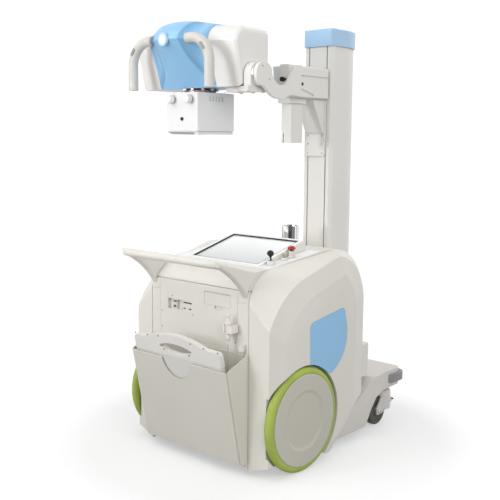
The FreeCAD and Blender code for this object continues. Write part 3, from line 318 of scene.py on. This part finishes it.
def painted(name, colour, rough=0.36, crease_shade=0.4, coat=0.15, glow=0.0):
    """Powder paint on sheet metal: orange peel, soft wear on edges, dust and painted shade in the creases.

    Glow stands for the light that the pale studio throws back on a piece."""
    graph = Finish(name)
    base = linear(colour)
    tone = graph.mix(graph.noise(1.8, 2.0).ramp(0.3, 0.7), shade(base, 0.97), shade(base, 1.015))
    # Painted shade: creases, found by ambient occlusion, are made darker.
    tone = graph.mix(graph.corners(0.014) * crease_shade, tone, shade(base, 0.38))
    wear = graph.edges(0.0016) * graph.noise(55.0, 4.0).ramp(0.45, 0.7)
    tone = graph.mix(wear * 0.45, tone, shade(base, 0.72))
    dust = graph.upward() * graph.noise(30.0, 5.0).ramp(0.40, 0.75)
    tone = graph.mix(dust * 0.12, tone, linear((0.74, 0.72, 0.68)))
    shine = rough + graph.noise(9.0, 4.0) * 0.10 + dust * 0.15
    height = graph.noise(420.0, 2.0) + graph.noise(1400.0, 2.0) * 0.35
    return graph.surface(tone, shine, height, 0.00012, bevel=0.0008,
                         more={"Coat Weight": coat, "Coat Roughness": 0.25, "Emission Color": tone,
                               "Emission Strength": glow})


def rubber(name, colour, rough=0.62, dusty=0.35):
    """Solid rubber: fine pores, scuffed high spots, dust and painted shade in the creases."""
    graph = Finish(name)
    base = linear(colour)
    tone = graph.mix(graph.noise(7.0, 4.0).ramp(0.35, 0.7), shade(base, 0.88), shade(base, 1.06))
    # Painted shade: creases, found by ambient occlusion, are made darker.
    tone = graph.mix(graph.corners(0.010) * 0.5, tone, shade(base, 0.30))
    scuff = graph.noise(90.0, 5.0).ramp(0.50, 0.74)
    tone = graph.mix(scuff * dusty, tone, linear((0.66, 0.66, 0.56)))
    height = graph.noise(700.0, 3.0) + scuff * 0.5
    return graph.surface(tone, rough + scuff * 0.15, height, 0.0002, bevel=0.0012,
                         more={"Specular IOR Level": 0.35})


def metal(name, colour, rough=0.22, metallic=1.0):
    """Bare metal: brushed streaks, smudges and painted shade in the creases."""
    graph = Finish(name)
    base = linear(colour)
    streak = graph.noise(180.0, 3.0, (1.0, 1.0, 60.0))
    tone = graph.mix(streak, shade(base, 0.86), shade(base, 1.08))
    # Painted shade: creases, found by ambient occlusion, are made darker.
    tone = graph.mix(graph.corners(0.006) * 0.6, tone, shade(base, 0.22))
    smudge = graph.noise(24.0, 5.0).ramp(0.45, 0.70)
    shine = rough + streak * 0.10 + smudge * 0.12
    return graph.surface(tone, shine, streak, 0.00003, bevel=0.0005, more={"Metallic": metallic})


def chrome(name):
    """Polished chrome: painted reflections of a studio's panels as upright light and dark bands, and faint
    smudges.
    """
    graph = Finish(name)
    bands = graph.noise(55.0, 1.0, (1.0, 1.0, 0.01)).ramp(0.42, 0.56)
    tone = graph.mix(bands, linear((0.36, 0.35, 0.37)), WHITE)
    smudge = graph.noise(24.0, 5.0).ramp(0.55, 0.80)
    return graph.surface(tone, 0.09 + smudge * 0.08, bevel=0.0005, more={"Metallic": 1.0})


def screen(name, colour):
    """Display glass with painted glare: a pale tone that lifts toward the column and a painted glow, finger
    smudges and a clear coat.
    """
    graph = Finish(name)
    base = linear(colour)
    # Painted glare: the glass gets lighter toward the column.
    painted_glare = (graph.y * 3.0 + graph.noise(3.0, 1.0) * 0.3).ramp(-0.2, 0.9)
    tone = graph.mix(painted_glare, shade(base, 0.7), shade(base, 1.3))
    smudge = graph.noise(36.0, 5.0, (1.0, 2.5, 1.0)).ramp(0.52, 0.74)
    tone = graph.mix(smudge * 0.06, tone, (0.5, 0.5, 0.5))
    return graph.surface(tone, 0.07 + smudge * 0.22, bevel=0.0004,
                         more={"Coat Weight": 0.6, "Coat Roughness": 0.03, "Emission Color": tone,
                               "Emission Strength": 0.22})


def give(material, *names):
    """Puts a material on CAD pieces."""
    for name in names:
        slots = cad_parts[name].data.materials
        slots.clear()
        slots.append(material)


def piece(name, build, material, body):
    """Makes a piece from a bmesh function and lets it ride on a body."""
    mesh = bpy.data.meshes.new(name)
    shape = bmesh.new()
    build(shape)
    shape.to_mesh(mesh)
    shape.free()
    thing = bpy.data.objects.new(name, mesh)
    bpy.context.scene.collection.objects.link(thing)
    mesh.materials.append(material)
    mesh.shade_smooth()
    mesh.set_sharp_from_angle(angle=SMOOTH_BELOW)
    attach(thing, body)


def lathe(shape, profile, matrix, steps):
    """Turns a profile of (radius, height) about a local Z axis, with a tip where the radius is 0."""
    rings = []
    for radius, height in profile:
        turns = [2 * math.pi * step / steps for step in range(steps if radius > 0 else 1)]
        points = [Vector((radius * math.cos(turn), radius * math.sin(turn), height)) for turn in turns]
        rings.append([shape.verts.new(matrix @ point) for point in points])
    for low, high in zip(rings, rings[1:]):
        for step in range(steps):
            after = (step + 1) % steps
            corners = (low[step % len(low)], low[after % len(low)], high[after % len(high)],
                       high[step % len(high)])
            kept = list(dict.fromkeys(corners))
            if len(kept) > 2:
                shape.faces.new(kept)


def toward(place, direction):
    """A matrix at a place with its Z axis along a direction."""
    turn = Vector(direction).to_track_quat("Z", "Y").to_matrix().to_4x4()
    return Matrix.Translation(Vector(place)) @ turn


def screw_head(shape, place, direction, radius):
    """A low domed screw head with a socket."""
    profile = [(radius * out, radius * up) for out, up in SCREW_PROFILE]
    lathe(shape, profile, toward(place, direction), 16)


def screws(name, places, direction, radius, material, body):
    """One piece that holds a group of screw heads."""
    def build(shape):
        for place in places:
            screw_head(shape, place, direction, radius)
    piece(name, build, material, body)


def colour_setting(name, description, default):
    """A colour as a display shows it."""
    return bpy.props.FloatVectorProperty(name=name, description=description, subtype="COLOR_GAMMA",
                                         default=default)


def length_setting(name, description, default, low, high):
    """A length in metres."""
    return bpy.props.FloatProperty(name=name, description=description, unit="LENGTH", default=default,
                                   min=low, max=high)


def power_setting(name, description, default):
    """A lamp's power in watts."""
    return bpy.props.FloatProperty(name=name, description=description, unit="POWER", default=default,
                                   min=0.0, max=5000.0)


class XRAY_settings(bpy.types.PropertyGroup):
    shell_colour: colour_setting("Shell", "Colour of the covers", (0.895, 0.882, 0.850))
    panel_colour: colour_setting("Panel", "Colour of the operator-side panel", (0.890, 0.880, 0.850))
    column_colour: colour_setting("Column", "Colour of the column and the arm", (0.920, 0.912, 0.890))
    head_colour: colour_setting("Head", "Colour of the tube head's shells", (0.925, 0.915, 0.900))
    blue_colour: colour_setting("Blue", "Colour of the blue mouldings", (0.578, 0.782, 0.930))
    tyre_colour: colour_setting("Tyre", "Colour of the drive wheels' tyres", (0.675, 0.750, 0.345))
    hub_colour: colour_setting("Hub", "Colour of the wheel caps", (0.775, 0.760, 0.715))
    overlay_colour: colour_setting("Overlay", "Colour of the light field round the display",
                                   (0.97, 0.975, 0.98))
    bin_colour: colour_setting("Bin", "Colour of the detector bin", (0.845, 0.832, 0.795))
    screw_radius: length_setting("Screw", "Radius of the small screw heads", 0.0032, 0.001, 0.01)
    bolt_radius: length_setting("Bolt", "Radius of the bolts under the head", 0.0072, 0.001, 0.02)
    floor_size: length_setting("Floor", "Half the floor's width", 14.0, 2.0, 50.0)
    key_power: power_setting("Key light", "Power of the key light", 80.0)
    fill_power: power_setting("Fill light", "Power of the fill light", 70.0)
    beam_power: power_setting("Beam", "Power of the narrow front light", 6.5)
    soft_light: bpy.props.FloatProperty(name="Soft light", description="Strength of the light from all round",
                                        default=0.48, min=0.0, max=10.0)


class XRAY_OT_covers(bpy.types.Operator):
    """Finishes the covers, the console and the blue inserts"""
    bl_idname = "xray.covers"
    bl_label = "Covers"
    bl_options = {"REGISTER", "UNDO"}

    def execute(self, context):
        settings = context.scene.xray_settings
        give(moulded("cover_plastic", settings.shell_colour, 0.40), "side_cover_left", "side_cover_right",
             "rear_cover")

        def overlay(graph):
            across = 1.0 - graph.x.size().ramp(*OVERLAY_SIDE)
            along = graph.y.ramp(*OVERLAY_FRONT) * (1.0 - graph.y.ramp(*OVERLAY_BACK))
            return across * along * graph.upward(), settings.overlay_colour
        give(moulded("console_plastic", settings.shell_colour, 0.38, patch=overlay), "console_top")
        give(moulded("panel_plastic", settings.panel_colour, 0.44), "front_panel", "flap_door")
        give(moulded("blue_insert", settings.blue_colour, 0.34, depth=0.00003, worn=0.2), "side_insert_left",
             "side_insert_right")
        give(chrome("post_chrome"), "park_post")
        give(metal("frame_steel", (0.30, 0.31, 0.33), 0.5, metallic=0.4), "base_frame")
        give(moulded("battery_case", (0.10, 0.10, 0.11), 0.6), "battery_pack")
        give(painted("generator_case", (0.55, 0.55, 0.56), 0.5), "generator_unit")
        self.details(settings)
        return {"FINISHED"}

    def details(self, settings):
        """Sockets, connectors and screws on the operator-side panel."""
        dark = moulded("socket_dark", (0.20, 0.20, 0.21), 0.4)
        for number, (place, half, colour) in enumerate(SOCKETS):
            self.block(f"socket_{number}", place, half, moulded(f"socket_plastic_{number}", colour, 0.4))
        for number, place in enumerate(PLUGS):
            self.block(f"plug_{number}", place, PLUG_HALF, dark)
        self.block("slot_dark", SLOT, SLOT_HALF, dark)
        screws("panel_screws", [(x, PANEL_SCREW_Y, z) for x, z in PANEL_SCREWS], (0, -1, 0),
               settings.screw_radius * 0.7, metal("panel_zinc", (0.55, 0.54, 0.52), 0.35), "chassis")

    def block(self, name, place, half, material):
        """A small softened box fixed to the chassis."""
        def build(shape):
            box = Matrix.Translation(place) @ Matrix.Diagonal((*half, 1.0))
            bmesh.ops.create_cube(shape, size=2.0, matrix=box)
            bmesh.ops.bevel(shape, geom=shape.edges[:], offset=min(half) * 0.3, segments=2, affect="EDGES")
        piece(name, build, material, "chassis")


class XRAY_OT_controls(bpy.types.Operator):
    """Finishes the display, the joystick, the key and the emergency stop"""
    bl_idname = "xray.controls"
    bl_label = "Controls"
    bl_options = {"REGISTER", "UNDO"}

    def execute(self, context):
        settings = context.scene.xray_settings
        give(moulded("bezel_black", (0.07, 0.07, 0.075), 0.28, 1500.0), "display_bezel", "joystick_gimbal")
        give(moulded("collar_light", (0.86, 0.85, 0.83), 0.30, 1500.0), "control_collars")
        give(rubber("stick_rubber", (0.06, 0.06, 0.065), 0.5, 0.08), "joystick")
        # The display's pale grey is painted glare on the glass.
        give(screen("display_glass", (0.81, 0.82, 0.82)), "display_screen")
        give(moulded("stop_red", (0.62, 0.04, 0.05), 0.25, 1500.0, 0.00002), "stop_button")
        give(metal("key_metal", (0.78, 0.76, 0.70), 0.2), "key")
        return {"FINISHED"}


class XRAY_OT_bin(bpy.types.Operator):
    """Finishes the bin, the detector and the hand switch with its cord"""
    bl_idname = "xray.bin"
    bl_label = "Bin and hand switch"
    bl_options = {"REGISTER", "UNDO"}

    def execute(self, context):
        settings = context.scene.xray_settings
        give(moulded("bin_plastic", settings.bin_colour, 0.46), "detector_bin")
        give(moulded("detector_shell", (0.86, 0.85, 0.83), 0.4), "detector_panel")
        give(moulded("detector_grip", (0.90, 0.89, 0.87), 0.38), "detector_handle")
        screws("handle_screws", [metres(place) for place in HANDLE_SCREWS], HANDLE_FACING,
               settings.screw_radius, metal("handle_zinc", (0.62, 0.61, 0.60), 0.32), "detector")
        # The hand switch gets less painted shade in its creases.
        give(moulded("switch_plastic", (0.915, 0.89, 0.87), 0.36, 1300.0, crease_shade=0.2), "hand_switch",
             "switch_holder")
        give(moulded("button_cream", (0.91, 0.885, 0.865), 0.3), "exposure_button")
        self.cord()
        piece("relief_rings", self.rings, moulded("relief_grey", (0.62, 0.61, 0.59), 0.5), "chassis")
        return {"FINISHED"}

    def rings(self, shape):
        """Rings round the cord that get narrower downward."""
        for step in range(RINGS):
            x, y, z = RING_PLACE
            radius = RING_RADIUS - step * RING_TAPER
            profile = ((RING_BORE, 0), (radius, 0.0003), (radius, 0.0016), (RING_BORE, 0.0019))
            lathe(shape, profile, Matrix.Translation((x, y, z - step * RING_PITCH)), 20)

    def cord(self):
        """The cord, which hangs in one loop from the switch to the gland in the panel."""
        curve = bpy.data.curves.new("switch_cord_line", "CURVE")
        curve.dimensions = "3D"
        curve.bevel_depth = 0.0025
        curve.bevel_resolution = 5
        curve.use_fill_caps = True
        route = curve.splines.new("NURBS")
        route.points.add(len(CORD_ROUTE) - 1)
        for point, place in zip(route.points, CORD_ROUTE):
            point.co = (*metres(place), 1.0)
        route.order_u = 3
        route.use_endpoint_u = True
        route.resolution_u = 12
        line = bpy.data.objects.new("switch_cord_line", curve)
        bpy.context.scene.collection.objects.link(line)
        line.data.materials.append(rubber("cord_rubber", (0.80, 0.79, 0.77), 0.5, 0.08))
        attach(line, "chassis")
        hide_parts("switch_cord")


class XRAY_OT_wheels(bpy.types.Operator):
    """Finishes the drive wheels and the casters"""
    bl_idname = "xray.wheels"
    bl_label = "Wheels"
    bl_options = {"REGISTER", "UNDO"}

    def execute(self, context):
        settings = context.scene.xray_settings
        give(rubber("tyre_green", settings.tyre_colour, 0.55, 0.10), "tyre_left", "tyre_right")
        give(painted("hub_paint", settings.hub_colour, 0.42), "wheel_hub_left", "wheel_hub_right")
        give(moulded("caster_fork", (0.87, 0.855, 0.84), 0.40), "caster_fork_left", "caster_fork_right")
        give(moulded("caster_pedal", (0.12, 0.12, 0.125), 0.5), "caster_pedal_left", "caster_pedal_right")
        give(rubber("caster_tread", (0.33, 0.325, 0.285), 0.5, 0.12), "caster_wheel_left",
             "caster_wheel_right")
        zinc = metal("zinc", (0.75, 0.75, 0.74), 0.3)
        x, y, z = CASTER_AXLE
        for side, name in ((-1, "left"), (1, "right")):
            def nuts(shape, side=side):
                for end in (-1, 1):
                    screw_head(shape, (side * x + end * NUT_OUT, y, z), (end, 0, 0), NUT_RADIUS)
            piece(f"caster_nuts_{name}", nuts, zinc, f"caster_{name}")
        return {"FINISHED"}


class XRAY_OT_deck(bpy.types.Operator):
    """Finishes the deck, the bumper, the column and its cap"""
    bl_idname = "xray.deck"
    bl_label = "Deck and column"
    bl_options = {"REGISTER", "UNDO"}

    def execute(self, context):
        settings = context.scene.xray_settings
        give(moulded("deck_plastic", (0.862, 0.845, 0.825), 0.42), "deck_cover")
        give(rubber("bumper_grey", (0.60, 0.59, 0.60), 0.55, 0.12), "deck_bumper")
        give(painted("column_paint", settings.column_colour, 0.34), "column_profile")
        give(moulded("cap_blue", (0.69, 0.83, 0.945), 0.34, depth=0.00003, worn=0.2), "column_cap")
        return {"FINISHED"}


class XRAY_OT_arm(bpy.types.Operator):
    """Finishes the carriage, the arm and the parking latch"""
    bl_idname = "xray.arm"
    bl_label = "Arm"
    bl_options = {"REGISTER", "UNDO"}

    def execute(self, context):
        settings = context.scene.xray_settings
        give(painted("arm_paint", settings.column_colour, 0.36), "carriage", "arm_box", "hook_plate",
             "park_latch", "head_cradle")
        give(metal("ring_chrome", (0.82, 0.82, 0.83), 0.12), "pivot_ring")
        give(metal("flange_steel", (0.56, 0.47, 0.44), 0.28), "swivel_flange")
        black = moulded("knob_black", (0.07, 0.07, 0.07), 0.35)
        give(black, "arm_knob")

        def plug(shape):
            lathe(shape, ARM_PLUG_PROFILE, toward(ARM_PLUG, (1, 0, 0)), 20)
        piece("arm_plug", plug, black, "carriage_unit")
        zinc = metal("arm_zinc", (0.70, 0.70, 0.69), 0.3)
        radius = settings.screw_radius
        screws("hook_screws", HOOK_SCREWS, (1, 0, 0), radius, zinc, "carriage_unit")
        screws("carriage_screws", CARRIAGE_SCREWS, (0, -1, 0), radius, zinc, "carriage_unit")
        return {"FINISHED"}


class XRAY_OT_head(bpy.types.Operator):
    """Finishes the tube head, its grips and the collimator"""
    bl_idname = "xray.head"
    bl_label = "Tube head"
    bl_options = {"REGISTER", "UNDO"}

    def execute(self, context):
        settings = context.scene.xray_settings
        give(moulded("head_plastic", settings.head_colour, 0.36), "head_shell_left", "head_shell_right")

        def past_bib(graph):
            """Distance outside the bib's edge, less than 0 on the bib."""
            flare = (graph.z - BIB_NECK_Z) / BIB_REACH
            return (graph.x - HEAD_X).size() - (flare * flare * BIB_FLARE + BIB_NECK_HALF)

        def channels(graph):
            return past_bib(graph).ramp(-0.008, 0.010) * -CHANNEL_DEPTH

        # Painted shade: the blue is darker in a band just outside the bib's edge, in the channels.
        def channel_shade(graph):
            past = past_bib(graph)
            return past.ramp(-0.004, 0.005) * (1.0 - past.ramp(0.008, 0.040)) * 0.55, (0.36, 0.59, 0.76)
        give(moulded("saddle_blue", settings.blue_colour, 0.34, depth=0.00003, worn=0.2, relief=channels,
                     patch=channel_shade), "head_saddle")
        corners = [Vector(corner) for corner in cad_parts["head_disc"].bound_box]
        middle = sum(corners, Vector()) / 8
        radius = max(corner.x for corner in corners) - middle.x

        def rim(graph):
            return graph.distance(middle, "y").ramp(radius * 0.76, radius * 0.79), (0.72, 0.87, 0.98)
        give(moulded("disc_white", (0.93, 0.95, 0.97), 0.25, depth=0.00002, patch=rim), "head_disc")
        give(moulded("grip_plastic", (0.83, 0.82, 0.795), 0.40), "grip_left", "grip_right")
        give(moulded("grip_button_grey", (0.60, 0.60, 0.60), 0.45), "grip_button_left", "grip_button_right")
        give(painted("collimator_paint", (0.87, 0.865, 0.865), 0.42, coat=0.05, glow=0.16), "collimator_body")
        depths = [corner[1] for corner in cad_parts["collimator_knob_left"].bound_box]
        waist = (min(depths) + max(depths)) / 2

        def skirt(graph):
            # Below the waist the knobs are grey, with painted shade in stripes between their ribs.
            rib_shade = (graph.x * 1400.0).sine().ramp(0.2, 0.8)
            return graph.y.ramp(waist, waist + 0.001) * (1.0 - rib_shade * 0.5), (0.52, 0.51, 0.50)
        give(moulded("knob_white", (0.95, 0.945, 0.94), 0.30, patch=skirt), "collimator_knob_left",
             "collimator_knob_right")
        give(moulded("lamp_black", (0.05, 0.05, 0.055), 0.3), "lamp_button")
        bolt = metal("flange_bolts", (0.95, 0.87, 0.82), 0.3, metallic=0.6)
        size = settings.bolt_radius

        def ring(shape):
            profile = ((size, 0), (size, 0.005), (size * 0.7, 0.008), (0, 0.009))
            for step in range(FLANGE_BOLTS):
                turn = 2 * math.pi * step / FLANGE_BOLTS
                place = (HEAD_X + FLANGE_RING * math.cos(turn), BEAM_Y + FLANGE_RING * math.sin(turn),
                         FLANGE_BOLT_Z)
                lathe(shape, profile, toward(place, (0, 0, -1)), 12)
        piece("flange_bolts", ring, bolt, "tube_head")
        screws("cradle_bolts", CRADLE_BOLTS, (0, 0, -1), size, bolt, "tube_head")
        return {"FINISHED"}


class XRAY_OT_stage(bpy.types.Operator):
    """Sets up the floor, the soft light and the camera"""
    bl_idname = "xray.stage"
    bl_label = "Stage"
    bl_options = {"REGISTER", "UNDO"}

    def execute(self, context):
        settings = context.scene.xray_settings
        self.floor(settings.floor_size)
        self.light("key", (-1.8, -3.4, 4.2), settings.key_power, 3.2)
        self.light("fill", (3.6, -1.6, 2.6), settings.fill_power, 2.6)
        self.light("back", (0.5, 3.4, 3.4), settings.fill_power * 0.6, 2.4)
        self.light("beam", (-1.2, -3.6, 1.45), settings.beam_power, 1.2, (-0.1, 0.2, 1.3), 60.0)
        self.sky(settings.soft_light)
        self.camera()
        context.scene.view_settings.view_transform = "Standard"
        return {"FINISHED"}

    def floor(self, half):
        """A white floor that keeps the shadow near the machine and glows evenly further out."""
        mesh = bpy.data.meshes.new("floor")
        corners = [(-half, -half, 0), (half, -half, 0), (half, half, 0), (-half, half, 0)]
        mesh.from_pydata(corners, [], [(0, 1, 2, 3)])
        floor = bpy.data.objects.new("floor", mesh)
        bpy.context.scene.collection.objects.link(floor)
        graph = Finish("floor_white")
        far = graph.distance((0.0, 0.2, 0.0), "z").ramp(0.45, 1.0)
        seen = graph.seen()
        tone = graph.mix(seen, (0.42, 0.42, 0.42), (0.96, 0.96, 0.96))
        plain = graph.node("ShaderNodeBsdfDiffuse", {}, {"Color": tone})
        glow = graph.node("ShaderNodeEmission", {}, {"Color": WHITE, "Strength": BACKDROP})
        both = graph.node("ShaderNodeMixShader", {}, {0: far.most(0.42) * seen, 1: plain, 2: glow})
        mesh.materials.append(graph.end(both))

    def light(self, name, place, power, size, aim=(0, 0.1, 0.8), spread=180.0):
        """A square lamp that looks at the machine, with its spread in degrees."""
        lamp = bpy.data.lights.new(name, "AREA")
        lamp.energy = power
        lamp.size = size
        lamp.spread = math.radians(spread)
        holder = bpy.data.objects.new(name, lamp)
        bpy.context.scene.collection.objects.link(holder)
        holder.location = place
        holder.rotation_euler = (Vector(aim) - Vector(place)).to_track_quat("-Z", "Y").to_euler()

    def sky(self, strength):
        """A soft light from all round that shows as white."""
        world = bpy.data.worlds.new("studio")
        graph = Graph(world)
        soft = graph.node("ShaderNodeBackground", {}, {"Color": WHITE, "Strength": strength})
        bright = graph.node("ShaderNodeBackground", {}, {"Color": WHITE, "Strength": BACKDROP})
        both = graph.node("ShaderNodeMixShader", {}, {0: graph.seen(), 1: soft, 2: bright})
        graph.node("ShaderNodeOutputWorld", {}, {"Surface": both})
        bpy.context.scene.world = world

    def camera(self):
        """The camera as it stood for the photograph."""
        azimuth, rise, roll = (math.radians(angle) for angle in CAMERA_ANGLES)
        back = Vector((math.sin(azimuth) * math.cos(rise), -math.cos(azimuth) * math.cos(rise),
                       math.sin(rise)))
        right = (-back).cross(Vector((0, 0, 1))).normalized()
        up = right.cross(-back)
        across = right * math.cos(roll) + up * math.sin(roll)
        over = up * math.cos(roll) - right * math.sin(roll)
        lens = bpy.data.cameras.new("camera")
        lens.lens = CAMERA_LENS
        lens.sensor_width = CAMERA_SENSOR
        eye = bpy.data.objects.new("camera", lens)
        bpy.context.scene.collection.objects.link(eye)
        turn = Matrix((across, over, back)).transposed().to_4x4()
        eye.matrix_world = Matrix.Translation(CAMERA_PLACE) @ turn
        bpy.context.scene.camera = eye


STEPS = (XRAY_OT_covers, XRAY_OT_controls, XRAY_OT_bin, XRAY_OT_wheels, XRAY_OT_deck, XRAY_OT_arm,
         XRAY_OT_head, XRAY_OT_stage)


class XRAY_PT_panel(bpy.types.Panel):
    """Lists the building steps"""
    bl_idname = "XRAY_PT_panel"
    bl_label = "Mobile X-ray Machine"
    bl_space_type = "VIEW_3D"
    bl_region_type = "UI"
    bl_category = "X-ray"

    def draw(self, context):
        for step in STEPS:
            self.layout.operator(step.bl_idname)


CLASSES = (XRAY_settings, *STEPS, XRAY_PT_panel)


def register():
    for entry in CLASSES:
        bpy.utils.register_class(entry)
    bpy.types.Scene.xray_settings = bpy.props.PointerProperty(type=XRAY_settings)


def unregister():
    del bpy.types.Scene.xray_settings
    for entry in reversed(CLASSES):
        bpy.utils.unregister_class(entry)


def main():
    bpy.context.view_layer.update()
    register()
    for step in STEPS:
        area, name = step.bl_idname.split(".")
        getattr(getattr(bpy.ops, area), name)()


if __name__ == "__main__":
    main()
